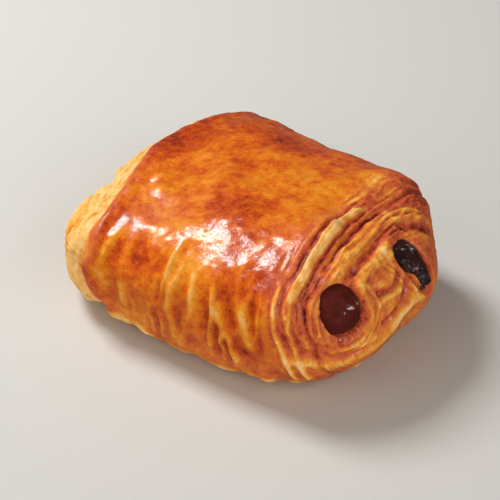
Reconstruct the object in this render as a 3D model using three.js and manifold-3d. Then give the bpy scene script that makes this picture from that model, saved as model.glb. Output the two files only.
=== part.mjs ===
// Pain au chocolat: a rolled puff pastry with two chocolate bars running through it.
// Millimetres, +X along the bars towards the end that shows them best, +Z up,
// origin on the flat underside, in the middle of the bounding box.
import * as THREE from 'three';
import { mergeVertices } from 'three/addons/utils/BufferGeometryUtils.js';
import Module from 'manifold-3d';

// Driving dimensions of the roll
const HALF_LENGTH = 55;
const HALF_WIDTH = 46.4;
const CROWN = 43.6;
const BELT = 20.4;
const FLAT = 1.5;
const TOP_SQUARENESS = 2.8;
const FOOT_SQUARENESS = 3.07;
const NEAR_SQUARENESS = 2.53;
const FAR_SQUARENESS = 5.3;
const WIDTH_TAPER = -0.053;
const HEIGHT_TAPER = 0.137;
const NEAR_SKEW = -0.083;
const FAR_SKEW = -0.05;
const BEND = -0.025;

// Relief of the baked dough, heights above the smooth roll
const SLEEVE_THICKNESS = 0.9;
const STRIP_HEIGHT = 1.3;
const COLLAR_HEIGHT = 0.9;
const GROOVE_DEPTH = 1.1;
const RING_HEIGHT = 0.9;
const BAND_DEPTH = 1.2;
const RIB_HEIGHT = 0.7;
const LUMP_HEIGHT = 0.5;
const LUMP_COUNT = 8;
const LUMP_LENGTH = 38;
const LUMP_WARP = 7;
const GOLDEN_ANGLE = 2.39996;

// Hollows (and, where the depth is negative, swellings) of this roll
const DENTS = [
  { at: [2, 42, 37], depth: 2.8, width: 23 },
  { at: [-43, 38, 35], depth: 1.0, width: 9 },
  { at: [-50, -22, 34], depth: 1.4, width: 9 },
  { at: [-51, -44, 14], depth: 1.1, width: 8 },
  { at: [-35, -48, 12], depth: -1.2, width: 6 },
  { at: [-24, -48, 12], depth: 1.9, width: 7 },
  { at: [-10, -46, 12], depth: 1.0, width: 7 },
  { at: [22, -44, 10], depth: 1.1, width: 9 },
  { at: [39, -36, 8], depth: 1.0, width: 6 },
  { at: [36, 38, 36], depth: -1.9, width: 9 },
  { at: [47, 29, 31], depth: 1.7, width: 7 },
  { at: [52, 18, 26], depth: -1.1, width: 8 },
  { at: [53, -4, 12], depth: 0.4, width: 14 },
  { at: [-54, -37, 26], depth: -1.7, width: 8 },
];

// Chocolate bars and the tunnels that hold them
const BAR_GAP = 0.3;
const BAR_SIDES = 24;
const BAR_STEPS = 6;
const BAR_RECESS = 0.9;
const TUNNEL_REACH = 66;
const LEFT_BAR = {
  near: { x: 48, y: -22.5, z: 32.4 },
  far: { x: -52, y: -20.5, z: 24.5 },
  half: { width: 6.2, height: 7.0 },
  lean: 0.2,
  pinch: 0,
  boxiness: 1.0,
};
const RIGHT_BAR = {
  near: { x: 50, y: 9.7, z: 31.5 },
  far: { x: -53, y: 13.5, z: 23.5 },
  half: { width: 4.1, height: 8.1 },
  lean: -0.27,
  pinch: 1.5,
  boxiness: 0.78,
};

// Mesh rows along the roll and columns round it
const COLUMNS = 76;
const ROWS = { face: 8, rings: 15, sleeve: 13, collar: 6, back: 6 };
const CORE = { columns: 64, rows: 44 };
const FACE_EDGE = 20;
const WELD = 1e-4;
const FIRST_COLUMN = -120;

const PI = Math.PI;
const radians = THREE.MathUtils.degToRad;

function hump(t) {
  return Math.exp(-t * t);
}

function ease(t) {
  return THREE.MathUtils.smoothstep(t, 0, 1);
}

function window(value, low, high, soft) {
  return ease((value - low) / soft + 0.5) * ease((high - value) / soft + 0.5);
}

// The smooth roll: sigma runs from the near end (0) to the far end (180),
// phi round the roll, 0 on the far side, 90 on top, 180 on the near side.
function baseForm(sigma, phi) {
  const s = Math.sin(radians(sigma));
  const c = Math.cos(radians(sigma));
  const u = Math.cos(radians(phi));
  const w = Math.sin(radians(phi));
  const ring = w > 0 ? TOP_SQUARENESS : FOOT_SQUARENESS;
  const run = c > 0 ? NEAR_SQUARENESS : FAR_SQUARENESS;
  const rise = w > 0 ? CROWN - BELT : BELT;
  const g = (Math.abs(u) ** ring + Math.abs(w) ** ring) ** (1 / ring);
  const f = (Math.abs(s) ** run + Math.abs(c) ** run) ** (1 / run);
  const t = c / f;
  const y = (HALF_WIDTH * s * u / (g * f)) * (1 + WIDTH_TAPER * t);
  const z = (BELT + rise * s * w / (g * f)) * (1 + HEIGHT_TAPER * t);
  const skew = (t > 0 ? NEAR_SKEW : FAR_SKEW) * t * t * y;
  return new THREE.Vector3(HALF_LENGTH * t + skew, y + BEND * HALF_LENGTH * t * t, z);
}

function baseNormal(sigma, phi) {
  const step = 0.2;
  const at = THREE.MathUtils.clamp(sigma, 2 * step, 180 - 2 * step);
  const along = baseForm(at + step, phi).sub(baseForm(at - step, phi));
  const round = baseForm(at, phi + step).sub(baseForm(at, phi - step));
  return along.cross(round).normalize();
}

// Where the outer sleeve of dough ends, at the near and at the far end
function nearLip(phi) {
  return 55.7 + 9 * Math.cos(radians(phi - 45));
}

function farLip(phi) {
  return 124 + 9 * Math.cos(radians(phi - 70)) - 3 * hump((phi - 118) / 18);
}

// Slow lumps of the risen dough, as a few waves in spread directions
function lumps(p) {
  const x = p.x + LUMP_WARP * Math.sin(p.y / 15);
  const y = p.y + LUMP_WARP * Math.sin(p.z / 13 + 1);
  const z = p.z + LUMP_WARP * Math.sin(p.x / 17 + 2);
  let sum = 0;
  for (let i = 0; i < LUMP_COUNT; i += 1) {
    const lift = 1 - (2 * i + 1) / LUMP_COUNT;
    const level = Math.sqrt(1 - lift * lift);
    const turn = i * GOLDEN_ANGLE;
    const along = x * level * Math.cos(turn) + y * level * Math.sin(turn) + z * lift;
    const length = LUMP_LENGTH * (0.8 + 0.25 * Math.cos(3.1 * i));
    sum += Math.sin((2 * PI * along) / length + 1.7 * i);
  }
  return (LUMP_HEIGHT * sum) / Math.sqrt(LUMP_COUNT);
}

function dents(p) {
  let h = 0;
  for (const dent of DENTS) {
    const off = Math.hypot(p.x - dent.at[0], p.y - dent.at[1], p.z - dent.at[2]);
    h -= dent.depth * hump(off / dent.width);
  }
  return h;
}

// Edges of the outer turn of dough: overlapping strips, each on its own stretch of the lip
function strip(past, centre, half) {
  return window(past, centre - half, centre + half, 2.4);
}

function strips(past, phi) {
  let h = window(phi, 60, 102, 14) * strip(past, -1.2, 1.5);
  h += window(phi, 96, 142, 14) * strip(past, 0.2, 1.5);
  h += 0.6 * window(phi, 136, 214, 14) * (strip(past, -2.6, 1.1) + strip(past, 1.4, 1.1));
  return h;
}

// The outer sleeve: raised dough with strips at its near lip, a swollen far lip and grooves
function sleeveRelief(sigma, phi) {
  const past = nearLip(phi) - sigma;
  const behind = sigma - farLip(phi);
  let h = SLEEVE_THICKNESS * (1 - ease((past + 0.6) / 2.4)) * (1 - ease((behind + 0.6) / 2.4));
  h += STRIP_HEIGHT * strips(past, phi);
  h -= GROOVE_DEPTH * hump((past - 4.2) / 1.8);
  h += COLLAR_HEIGHT * hump((behind + 2.0) / 3.0);
  h -= GROOVE_DEPTH * hump((behind - 2.5) / 2.5);
  return h;
}

// The inner turns of dough that show between the sleeve and the end face
function ringRelief(sigma, phi) {
  const past = nearLip(phi) - sigma;
  const spread = Math.max(0, (88 - phi) / 40);
  const outer = 7.8 + 9 * spread * spread;
  const inner = 11.8 + 8 * ease((78 - phi) / 34) - 5 * ease((phi - 112) / 20);
  let h = RING_HEIGHT * window(phi, 40, 118, 14) * hump((past - outer) / 1.5);
  h += RING_HEIGHT * window(phi, 30, 140, 14) * hump((past - inner) / 1.5);
  h -= BAND_DEPTH * window(phi, 40, 118, 16) * hump((past - inner - 4.8) / 2.4);
  return h;
}

// Folds in the end face: soft ridges and creases that follow a line of (y, z) places
const END_FOLDS = [
  { path: [[-36, 19.5], [-30, 17.4], [-23, 18.4], [-15, 19]], height: 0.9, width: 2.0 },
  { path: [[-15, 19], [-7, 21.5], [2, 25.2], [8.5, 24.8]], height: 0.9, width: 2.0 },
  { path: [[2.4, 36.2], [2.5, 31.3], [-2.5, 26.6], [-10, 25.6], [-18, 23.4]], height: 0.6, width: 1.4 },
  { path: [[0.2, 33.5], [-2.5, 30.4], [-7.5, 28.9], [-13, 28.2]], height: -0.9, width: 1.3 },
  { path: [[-1, 38.8], [-1.8, 36], [-5, 34.2], [-10, 33.4]], height: 0.6, width: 1.3 },
  { path: [[3, 40.2], [-1, 40.7], [-5, 40.8], [-8.5, 41.4]], height: 0.6, width: 1.3 },
  { path: [[-36.4, 28.5], [-35.4, 22.8], [-31, 20.4]], height: -0.8, width: 1.5 },
  { path: [[-33, 26], [-27, 21.4], [-19, 21]], height: -0.5, width: 1.5 },
];

function distanceToPath(p, path) {
  let nearest = Infinity;
  for (let i = 0; i + 1 < path.length; i += 1) {
    const [y, z] = path[i];
    const dy = path[i + 1][0] - y;
    const dz = path[i + 1][1] - z;
    const t = ((p.y - y) * dy + (p.z - z) * dz) / (dy * dy + dz * dz);
    const at = THREE.MathUtils.clamp(t, 0, 1);
    nearest = Math.min(nearest, Math.hypot(p.y - y - at * dy, p.z - z - at * dz));
  }
  return nearest;
}

function endFaceRelief(p, facing) {
  let h = 0;
  for (const fold of END_FOLDS) {
    h += fold.height * hump(distanceToPath(p, fold.path) / fold.width);
  }
  return h * ease((facing - 0.15) / 0.3);
}

// Ribs down both long sides, each at its own place along the roll
const SIDE_RIBS = [
  { x: -27, lean: 0.1, height: 0.8, width: 2.8 },
  { x: -18.5, lean: 0.0, height: 0.7, width: 2.4 },
  { x: -9, lean: 0.3, height: 1.0, width: 2.4 },
  { x: 0.8, lean: -0.2, height: 1.2, width: 2.6 },
  { x: 10.5, lean: -0.2, height: 0.9, width: 2.4 },
  { x: 21, lean: -0.5, height: 0.9, width: 2.6 },
  { x: 29, lean: -0.2, height: 0.8, width: 2.4 },
];

function ribRelief(p, sigma, phi) {
  const side = window(phi, 132, 205, 22) + 0.8 * window(phi, -30, 34, 22);
  const within = ease((sigma - nearLip(phi) + 2) / 4) * ease((farLip(phi) - 2 - sigma) / 4);
  let h = 0;
  for (const ridge of SIDE_RIBS) {
    const off = p.x * (p.y > 0 ? -1 : 1) - ridge.x - ridge.lean * (p.z - BELT);
    h += ridge.height * (hump(off / ridge.width) - 0.45);
  }
  return RIB_HEIGHT * side * within * h;
}

// Full relief at a point of the smooth roll, along its normal
function relief(p, normal, sigma, phi) {
  const low = ease((p.z - FLAT) / 6);
  const h = sleeveRelief(sigma, phi) + ringRelief(sigma, phi) + endFaceRelief(p, normal.x)
    + ribRelief(p, sigma, phi);
  return h * low + lumps(p) + dents(p);
}

function pastryPoint(sigma, phi) {
  const p = baseForm(sigma, phi);
  const normal = baseNormal(sigma, phi);
  p.addScaledVector(normal, relief(p, normal, sigma, phi));
  p.z -= FLAT;
  return p;
}

// Rows of the mesh follow the lips, so that the relief keeps its shape
function rowSigma(row, phi) {
  const lip = nearLip(phi);
  const collar = farLip(phi);
  const stops = [0, lip - FACE_EDGE, lip + 3, collar - 4, collar + 7, 180];
  const counts = [ROWS.face, ROWS.rings, ROWS.sleeve, ROWS.collar, ROWS.back];
  let left = row;
  let zone = 0;
  while (left > counts[zone]) {
    left -= counts[zone];
    zone += 1;
  }
  return THREE.MathUtils.lerp(stops[zone], stops[zone + 1], left / counts[zone]);
}

// Rings near the two poles have fewer points, so that no triangle gets thin
function columnsAt(row, rows) {
  const fromPole = Math.min(row, rows - row);
  if (fromPole <= 2) return COLUMNS / 4;
  if (fromPole <= 4) return COLUMNS / 2;
  return COLUMNS;
}

function closedSkin(rings, nearPole, farPole) {
  const points = [nearPole];
  const starts = [];
  for (const ring of rings) {
    starts.push(points.length);
    points.push(...ring);
  }
  points.push(farPole);
  const last = points.length - 1;
  const faces = [];
  const first = rings[0].length;
  for (let i = 0; i < first; i += 1) {
    faces.push(0, starts[0] + i, starts[0] + ((i + 1) % first));
  }
  for (let r = 0; r + 1 < rings.length; r += 1) {
    joinRings(faces, starts[r], rings[r].length, starts[r + 1], rings[r + 1].length);
  }
  const end = rings[rings.length - 1].length;
  const start = starts[rings.length - 1];
  for (let i = 0; i < end; i += 1) {
    faces.push(last, start + ((i + 1) % end), start + i);
  }
  const geometry = new THREE.BufferGeometry();
  const values = points.flatMap((p) => p.toArray());
  geometry.setAttribute('position', new THREE.Float32BufferAttribute(values, 3));
  geometry.setIndex(faces);
  return geometry;
}

function joinRings(faces, a, countA, b, countB) {
  const steps = Math.max(countA, countB);
  for (let i = 0; i < steps; i += 1) {
    const a0 = a + (Math.floor((i * countA) / steps) % countA);
    const a1 = a + (Math.floor(((i + 1) * countA) / steps) % countA);
    const b0 = b + (Math.floor((i * countB) / steps) % countB);
    const b1 = b + (Math.floor(((i + 1) * countB) / steps) % countB);
    if (b0 !== b1) faces.push(a0, b0, b1);
    if (a0 !== a1) faces.push(a0, b1, a1);
  }
}

function pastryBody() {
  const rows = ROWS.face + ROWS.rings + ROWS.sleeve + ROWS.collar + ROWS.back;
  const rings = [];
  for (let row = 1; row < rows; row += 1) {
    const columns = columnsAt(row, rows);
    const ring = [];
    for (let i = 0; i < columns; i += 1) {
      const phi = FIRST_COLUMN + (360 * i) / columns;
      ring.push(pastryPoint(rowSigma(row, phi), phi));
    }
    rings.push(ring);
  }
  return closedSkin(rings, pastryPoint(0, 90), pastryPoint(180, 90));
}

// A long bar: a leaning rounded section, swept well past both ends of the roll
function barBody(bar, grow) {
  const rings = [];
  for (let step = 0; step <= BAR_STEPS; step += 1) {
    const x = THREE.MathUtils.lerp(TUNNEL_REACH, -TUNNEL_REACH, step / BAR_STEPS);
    rings.push(barSection(bar, x, grow));
  }
  return closedSkin(rings, barCentre(bar, TUNNEL_REACH), barCentre(bar, -TUNNEL_REACH));
}

function barCentre(bar, x) {
  const t = (bar.near.x - x) / (bar.near.x - bar.far.x);
  const y = THREE.MathUtils.lerp(bar.near.y, bar.far.y, t);
  return new THREE.Vector3(x, y, THREE.MathUtils.lerp(bar.near.z, bar.far.z, t));
}

// A sine or cosine bent towards a box with round corners, where the power is below 1
function rounded(value, power) {
  return Math.sign(value) * Math.abs(value) ** power;
}

function barSection(bar, x, grow) {
  const centre = barCentre(bar, x);
  const ring = [];
  for (let i = 0; i < BAR_SIDES; i += 1) {
    const angle = (2 * PI * i) / BAR_SIDES;
    const rise = rounded(Math.sin(angle), bar.boxiness);
    const across = rounded(Math.cos(angle), bar.boxiness);
    const z = (bar.half.height + grow) * rise;
    const y = (bar.half.width + grow + bar.pinch * rise) * across + bar.lean * z;
    ring.push(new THREE.Vector3(x, centre.y + y, centre.z + z));
  }
  return ring;
}

// The roll without relief, a little smaller: it trims the bars to the slope of the ends
function coreBody() {
  const rings = [];
  for (let row = 1; row < CORE.rows; row += 1) {
    const ring = [];
    for (let i = 0; i < CORE.columns; i += 1) {
      const phi = (360 * i) / CORE.columns;
      ring.push(corePoint((180 * row) / CORE.rows, phi));
    }
    rings.push(ring);
  }
  return closedSkin(rings, corePoint(0, 90), corePoint(180, 90));
}

function corePoint(sigma, phi) {
  const p = baseForm(sigma, phi).addScaledVector(baseNormal(sigma, phi), -BAR_RECESS);
  p.z -= FLAT;
  return p;
}

const wasm = await Module();
wasm.setup();

function toSolid(geometry) {
  const bare = new THREE.BufferGeometry();
  bare.setAttribute('position', geometry.getAttribute('position'));
  bare.setIndex(geometry.getIndex());
  const merged = mergeVertices(bare, WELD);
  const mesh = new wasm.Mesh({
    numProp: 3,
    vertProperties: new Float32Array(merged.getAttribute('position').array),
    triVerts: new Uint32Array(merged.getIndex().array),
  });
  return new wasm.Manifold(mesh);
}

function fromSolid(solid) {
  const mesh = solid.getMesh();
  const geometry = new THREE.BufferGeometry();
  geometry.setAttribute('position', new THREE.Float32BufferAttribute(mesh.vertProperties, 3));
  geometry.setIndex(Array.from(mesh.triVerts));
  geometry.computeVertexNormals();
  return geometry;
}

const crust = new THREE.MeshStandardMaterial({ color: 0xcf6a22, roughness: 0.42, metalness: 0 });
const chocolate = new THREE.MeshStandardMaterial({ color: 0x3d1a14, roughness: 0.3, metalness: 0 });

function addMesh(group, name, geometry, material) {
  const mesh = new THREE.Mesh(geometry, material);
  mesh.name = name;
  group.add(mesh);
  return mesh;
}

const roll = new THREE.Group();
const core = toSolid(coreBody());
let dough = toSolid(pastryBody()).trimByPlane([0, 0, 1], 0);
for (const bar of [LEFT_BAR, RIGHT_BAR]) {
  dough = dough.subtract(toSolid(barBody(bar, BAR_GAP)));
}
const pastry = addMesh(roll, 'pastry', fromSolid(dough), crust);
addMesh(roll, 'chocolate_left', fromSolid(toSolid(barBody(LEFT_BAR, 0)).intersect(core)), chocolate);
addMesh(roll, 'chocolate_right', fromSolid(toSolid(barBody(RIGHT_BAR, 0)).intersect(core)), chocolate);

// The origin goes to the middle of the roll's footprint
pastry.geometry.computeBoundingBox();
const middle = pastry.geometry.boundingBox.getCenter(new THREE.Vector3());
roll.position.set(-middle.x, -middle.y, 0);

const painAuChocolat = new THREE.Group();
painAuChocolat.add(roll);
painAuChocolat.updateMatrixWorld(true);

export default painAuChocolat;
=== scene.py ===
"""Looks of the pain au chocolat: a glossy baked roll with two chocolate bars.

The roll, its relief and the bars are worked out in millimetres in the roll's own frame,
and to_frame() turns them into metres in the shared frame. Camera, lights and materials
are in metres from the start. Angles round and along the roll are in degrees.
"""
import math
import bpy
import numpy as np
from mathutils import Matrix, Vector, kdtree


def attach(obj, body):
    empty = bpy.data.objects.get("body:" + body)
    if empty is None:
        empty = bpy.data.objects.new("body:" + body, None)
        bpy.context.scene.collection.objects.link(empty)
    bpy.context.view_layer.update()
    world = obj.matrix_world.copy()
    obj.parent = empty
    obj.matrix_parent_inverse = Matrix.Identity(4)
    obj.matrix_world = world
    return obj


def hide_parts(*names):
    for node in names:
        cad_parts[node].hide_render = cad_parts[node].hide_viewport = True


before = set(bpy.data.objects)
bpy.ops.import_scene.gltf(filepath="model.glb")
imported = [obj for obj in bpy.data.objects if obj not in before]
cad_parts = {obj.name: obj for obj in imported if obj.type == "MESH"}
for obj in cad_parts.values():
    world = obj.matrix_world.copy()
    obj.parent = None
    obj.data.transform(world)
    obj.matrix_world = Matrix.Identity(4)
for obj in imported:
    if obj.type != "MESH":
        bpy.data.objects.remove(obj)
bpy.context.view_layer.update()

# The smooth roll, as in the solids: a squared-off egg on a flat foot, whose two ends taper
# and lean a little. MIDDLE is the middle of the solids' footprint, seen from the roll's frame.
HALF_LENGTH = 55.0
HALF_WIDTH = 46.4
CROWN = 43.6
BELT = 20.4
FLAT = 1.5
TOP_SQUARENESS = 2.8
FOOT_SQUARENESS = 3.07
NEAR_SQUARENESS = 2.53
FAR_SQUARENESS = 5.3
WIDTH_TAPER = -0.053
HEIGHT_TAPER = 0.137
NEAR_SKEW = -0.083
FAR_SKEW = -0.05
BEND = -0.025
MIDDLE = np.array([0.08, -0.83, 0.0])

# Relief that the solids have too, in a coarser form
SLEEVE_THICKNESS = 0.9
LIP_HEIGHT = 1.5
GROOVE_DEPTH = 1.6
RING_HEIGHT = 0.9
BAND_DEPTH = 1.2
LUMP_HEIGHT = 0.5
LUMP_COUNT = 8
LUMP_LENGTH = 38
LUMP_WARP = 7
GOLDEN_ANGLE = 2.39996

# Wide dents in the crust. A negative depth is a lump.
DENTS = [
    dict(at=(2, 42, 37), depth=2.8, width=23),
    dict(at=(-43, 38, 35), depth=1.0, width=9),
    dict(at=(-50, -22, 34), depth=1.4, width=9),
    dict(at=(-51, -44, 14), depth=1.1, width=8),
    dict(at=(-35, -48, 12), depth=-1.2, width=6),
    dict(at=(-24, -48, 12), depth=1.9, width=7),
    dict(at=(-10, -46, 12), depth=1.0, width=7),
    dict(at=(22, -44, 10), depth=1.1, width=9),
    dict(at=(39, -36, 8), depth=1.0, width=6),
    dict(at=(36, 38, 36), depth=-1.9, width=9),
    dict(at=(47, 29, 31), depth=1.7, width=7),
    dict(at=(52, 18, 26), depth=-1.1, width=8),
    dict(at=(53, -4, 12), depth=0.4, width=14),
    dict(at=(-54, -37, 26), depth=-1.7, width=8),
    dict(at=(23, -32, 40), depth=1.4, width=9),
    dict(at=(25, -12, 45.5), depth=-1.5, width=9),
    dict(at=(2, -19, 43.5), depth=-0.8, width=8),
    dict(at=(4, -35, 39.5), depth=1.0, width=7),
    dict(at=(-20, -29, 40), depth=0.9, width=8),
    dict(at=(-32, -46, 29), depth=-1.9, width=9.5),
    dict(at=(-16, -46, 29.5), depth=-1.9, width=9.5),
    dict(at=(-31, -16, 39.8), depth=-1.0, width=3.2),
    dict(at=(-36, -25, 38), depth=-0.7, width=3.0),
    dict(at=(-36.5, -43, 32), depth=-1.0, width=4),
    dict(at=(-27, -20, 40.2), depth=-0.9, width=2.8),
    dict(at=(-35, -20, 39), depth=-0.9, width=2.6),
    dict(at=(22, 34, 40.5), depth=-1.7, width=9.5),
    dict(at=(1, 36, 41), depth=-0.9, width=7),
    dict(at=(39, 29, 36.5), depth=1.4, width=7),
    dict(at=(-47, -38.5, 30), depth=1.6, width=8),
]

# Ridges and creases of the near end face, along (y, z) places. A negative height is a crease.
END_FOLDS = [
    dict(
        path=[(-36, 19.5), (-30, 17.4), (-23, 18.4), (-15, 19), (-7, 21.5), (2, 25.2), (8.5, 24.8)],
        height=0.9, width=1.9,
    ),
    dict(
        path=[(3.3, 40.4), (-2.3, 40.7), (-6.9, 40.7), (-11.1, 40), (-14.8, 37.9)],
        height=0.9, width=1.3,
    ),
    dict(path=[(1.6, 36.2), (-2.6, 34.4), (-5.6, 34.3), (-9.3, 34.8)], height=-0.9, width=0.9),
    dict(path=[(-1.4, 32.5), (-4.9, 32.6), (-8.3, 33), (-11.5, 32.2)], height=0.7, width=0.9),
    dict(path=[(-0.6, 36.6), (-4, 36.2), (-8, 36.6)], height=0.5, width=0.8),
    dict(
        path=[(3.2, 33.4), (1.1, 31), (-2.2, 28.5), (-5.4, 27.2), (-8.3, 26.4), (-10.7, 26.2)],
        height=-0.9, width=1.1,
    ),
    dict(
        path=[(5.4, 28.4), (2, 25.6), (-2.5, 24.9), (-7.3, 23.6), (-12.1, 22.8), (-18, 22.6), (-28, 23)],
        height=0.7, width=1.4,
    ),
    dict(path=[(-15.2, 36), (-14.6, 32.3), (-15.5, 27.5), (-19, 24.9)], height=0.5, width=0.9),
    dict(path=[(-36.4, 28.5), (-35.4, 22.8), (-31, 20.4)], height=-0.8, width=1.2),
    dict(path=[(-33, 26), (-27, 21.4), (-19, 21)], height=-0.5, width=1.4),
]

# Ribs of the long sides: place along the roll, and how far the rib leans per millimetre of height
SIDE_WRINKLES = [
    dict(x=-27, lean=0.1, height=0.8, width=2.8),
    dict(x=-18.5, lean=0.0, height=1.0, width=2.2),
    dict(x=-9, lean=0.3, height=1.0, width=2.4),
    dict(x=0.8, lean=-0.2, height=1.2, width=2.6),
    dict(x=10.5, lean=-0.2, height=0.9, width=2.4),
    dict(x=21, lean=-0.5, height=0.9, width=2.6),
    dict(x=29, lean=-0.2, height=0.8, width=2.4),
]

# Turns of dough beyond the far lip, by degrees past it. A negative height is a gap.
FAR_TURNS = [
    dict(at=3.6, height=1.0, width=1.2),
    dict(at=7.4, height=0.8, width=1.3),
    dict(at=12.5, height=1.1, width=1.5),
    dict(at=15.5, height=-0.9, width=1.2),
    dict(at=21, height=1.2, width=2.0),
    dict(at=25, height=-1.0, width=1.5),
    dict(at=31, height=1.0, width=2.6),
]

# The chocolate bars: where their middle line runs, half their width and height, how far they
# lean and widen towards the top, how square they are (1 is round), and the depth of the notch
LEFT_BAR = dict(
    near=(48, -22.6, 32.3), far=(-52, -20.5, 24.5),
    half=(6.5, 7.1), lean=0.2, pinch=0.0, box=1.0, bite=0.0,
)
RIGHT_BAR = dict(
    near=(50, 9.6, 31.0), far=(-53, 13.5, 23.5),
    half=(4.4, 8.1), lean=-0.27, pinch=1.2, box=0.72, bite=1.7,
)

# Mesh of the crust: columns round the roll from the seam, and rows in each zone along it
COLUMNS = 360
SEAM = -120
ROWS = dict(face=52, rings=62, sleeve=84, collar=36, back=24)
FACE_EDGE = 20

# Finer relief that the solids leave out
STRIP_HEIGHT = 1.5
CREVICE_DEPTH = 0.3
LAYER_PITCH = 2.6
LAYER_HEIGHT = 0.42
RIB_HEIGHT = 0.95
BLISTER_HEIGHT = 0.24
SWELL_HEIGHT = 0.35
FLAKE_HEIGHT = 0.2
FAR_LAYER_HEIGHT = 0.8
GRAIN_HEIGHT = 0.09
RIM_HEIGHT = 0.35
RIM_WIDTH = 1.1
MOUTH_DEPTH = 0.9
COVER_HEIGHT = 1.6
END_WRINKLE_HEIGHT = 0.16
FOOT_HEIGHT = 1.0

# Edges of the outer turn: thin strips of dough, each on its own stretch round the roll.
# Their places along the roll are in degrees past the near lip.
STRIPS = [
    dict(first=78, last=102, soft=8, at=3.4, half=1.3, height=1.0),
    dict(first=74, last=112, soft=10, at=6.8, half=0.6, height=0.4),
    dict(first=96, last=140, soft=6, at=3.7, half=1.6, height=1.0),
    dict(first=90, last=124, soft=10, at=-1.2, half=0.9, height=0.3),
    dict(first=134, last=214, soft=6, at=-1.0, half=0.9, height=0.7),
    dict(first=134, last=214, soft=6, at=3.0, half=0.9, height=0.7),
]
STRIP_EDGE = 1.3

# Where the outer turn ends: the sigma of each lip, how far it swings to either side, and the
# phi at which it lies furthest from the near end
NEAR_LIP = dict(at=55.7, swing=9, furthest=45)
FAR_LIP = dict(at=124, swing=9, furthest=70)

# Where the far lip draws back, so that pale dough shows beyond it
FAR_NOTCHES = [
    dict(at=118, depth=3, width=18),
    dict(at=139, depth=4, width=14),
    dict(at=155, depth=3.4, width=12),
]

# Camera, fitted to the outline in the photograph. AIM_PIXEL is where the photograph has the
# point AIM_HEIGHT above the origin of the roll's own frame.
CAMERA_AZIMUTH = 42.0
CAMERA_ELEVATION = 37.1
CAMERA_DISTANCE = 0.700
FOCAL_PIXELS = 2234.6
FRAME_PIXELS = 500
AIM_HEIGHT = 0.022
AIM_PIXEL = (268.4, 242.9)
SENSOR_WIDTH = 36
CLIP_START = 0.01
CLIP_END = 20

# Stage: the lights point at a place this high above the table
LIGHT_TARGET = 0.03
TABLE_REACH = 3
TABLE_COLOUR = (0.62, 0.61, 0.58, 1)
TABLE_ROUGHNESS = 0.75
WORLD_COLOUR = (1.0, 0.97, 0.92, 1)
WORLD_STRENGTH = 0.1
WHITE = (1, 1, 1)
WARM_WHITE = (1.0, 0.96, 0.9)


def hump(t):
    """A smooth hill, 1 high and about 1 wide to each side."""
    return np.exp(-t * t)


def ease(t):
    """A soft step from 0 at t = 0 to 1 at t = 1."""
    t = np.clip(t, 0.0, 1.0)
    return t * t * (3.0 - 2.0 * t)


def window(value, low, high, soft):
    """1 between low and high and 0 outside, with soft edges."""
    return ease((value - low) / soft + 0.5) * ease((high - value) / soft + 0.5)


def lattice(ix, iy, iz, seed):
    """A repeatable random number from 0 to 1 for each lattice point."""
    h = ix * 374761393 + iy * 668265263 + iz * 2147483647 + seed * 1274126177
    h = (h ^ (h >> 13)) * 1274126177 & 0xFFFFFFFF
    return ((h ^ (h >> 16)) & 0xFFFF) / 65535.0


def noise(p, size, seed):
    """Smooth noise from -1 to 1, with lumps of about the given size. Each use has its own seed."""
    q = p / size
    cell = np.floor(q).astype(np.int64)
    f = q - cell
    f = f * f * (3 - 2 * f)
    total = 0
    for corner in range(8):
        dx, dy, dz = corner & 1, corner >> 1 & 1, corner >> 2 & 1
        weight = (f[..., 0] if dx else 1 - f[..., 0]) * (f[..., 1] if dy else 1 - f[..., 1])
        weight = weight * (f[..., 2] if dz else 1 - f[..., 2])
        total = total + weight * lattice(cell[..., 0] + dx, cell[..., 1] + dy, cell[..., 2] + dz, seed)
    return 2 * total - 1


# Sigma runs from the near end (0) to the far end (180). Phi runs round the roll, with 0 on
# the side away from the camera, 90 on top and 180 on the side towards it.
def base_form(sigma, phi):
    s, c = np.sin(np.radians(sigma)), np.cos(np.radians(sigma))
    u, w = np.cos(np.radians(phi)), np.sin(np.radians(phi))
    ring = np.where(w > 0, TOP_SQUARENESS, FOOT_SQUARENESS)
    run = np.where(c > 0, NEAR_SQUARENESS, FAR_SQUARENESS)
    rise = np.where(w > 0, CROWN - BELT, BELT)
    g = (np.abs(u) ** ring + np.abs(w) ** ring) ** (1 / ring)
    f = (np.abs(s) ** run + np.abs(c) ** run) ** (1 / run)
    t = c / f
    y = HALF_WIDTH * s * u / (g * f) * (1 + WIDTH_TAPER * t)
    z = (BELT + rise * s * w / (g * f)) * (1 + HEIGHT_TAPER * t)
    x = HALF_LENGTH * t + np.where(t > 0, NEAR_SKEW, FAR_SKEW) * t * t * y
    return np.stack([x, y + BEND * HALF_LENGTH * t * t, z], -1)


def base_normal(sigma, phi):
    step = 0.2
    at = np.clip(sigma, 2 * step, 180 - 2 * step)
    along = base_form(at + step, phi) - base_form(at - step, phi)
    round_it = base_form(at, phi + step) - base_form(at, phi - step)
    n = np.cross(along, round_it)
    return n / np.linalg.norm(n, axis=-1, keepdims=True)


def lip_line(lip, phi):
    return lip["at"] + lip["swing"] * np.cos(np.radians(phi - lip["furthest"]))


def near_lip(phi):
    return lip_line(NEAR_LIP, phi)


def far_lip(phi):
    lip = lip_line(FAR_LIP, phi)
    for notch in FAR_NOTCHES:
        lip = lip - notch["depth"] * hump((phi - notch["at"]) / notch["width"])
    return lip


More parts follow.
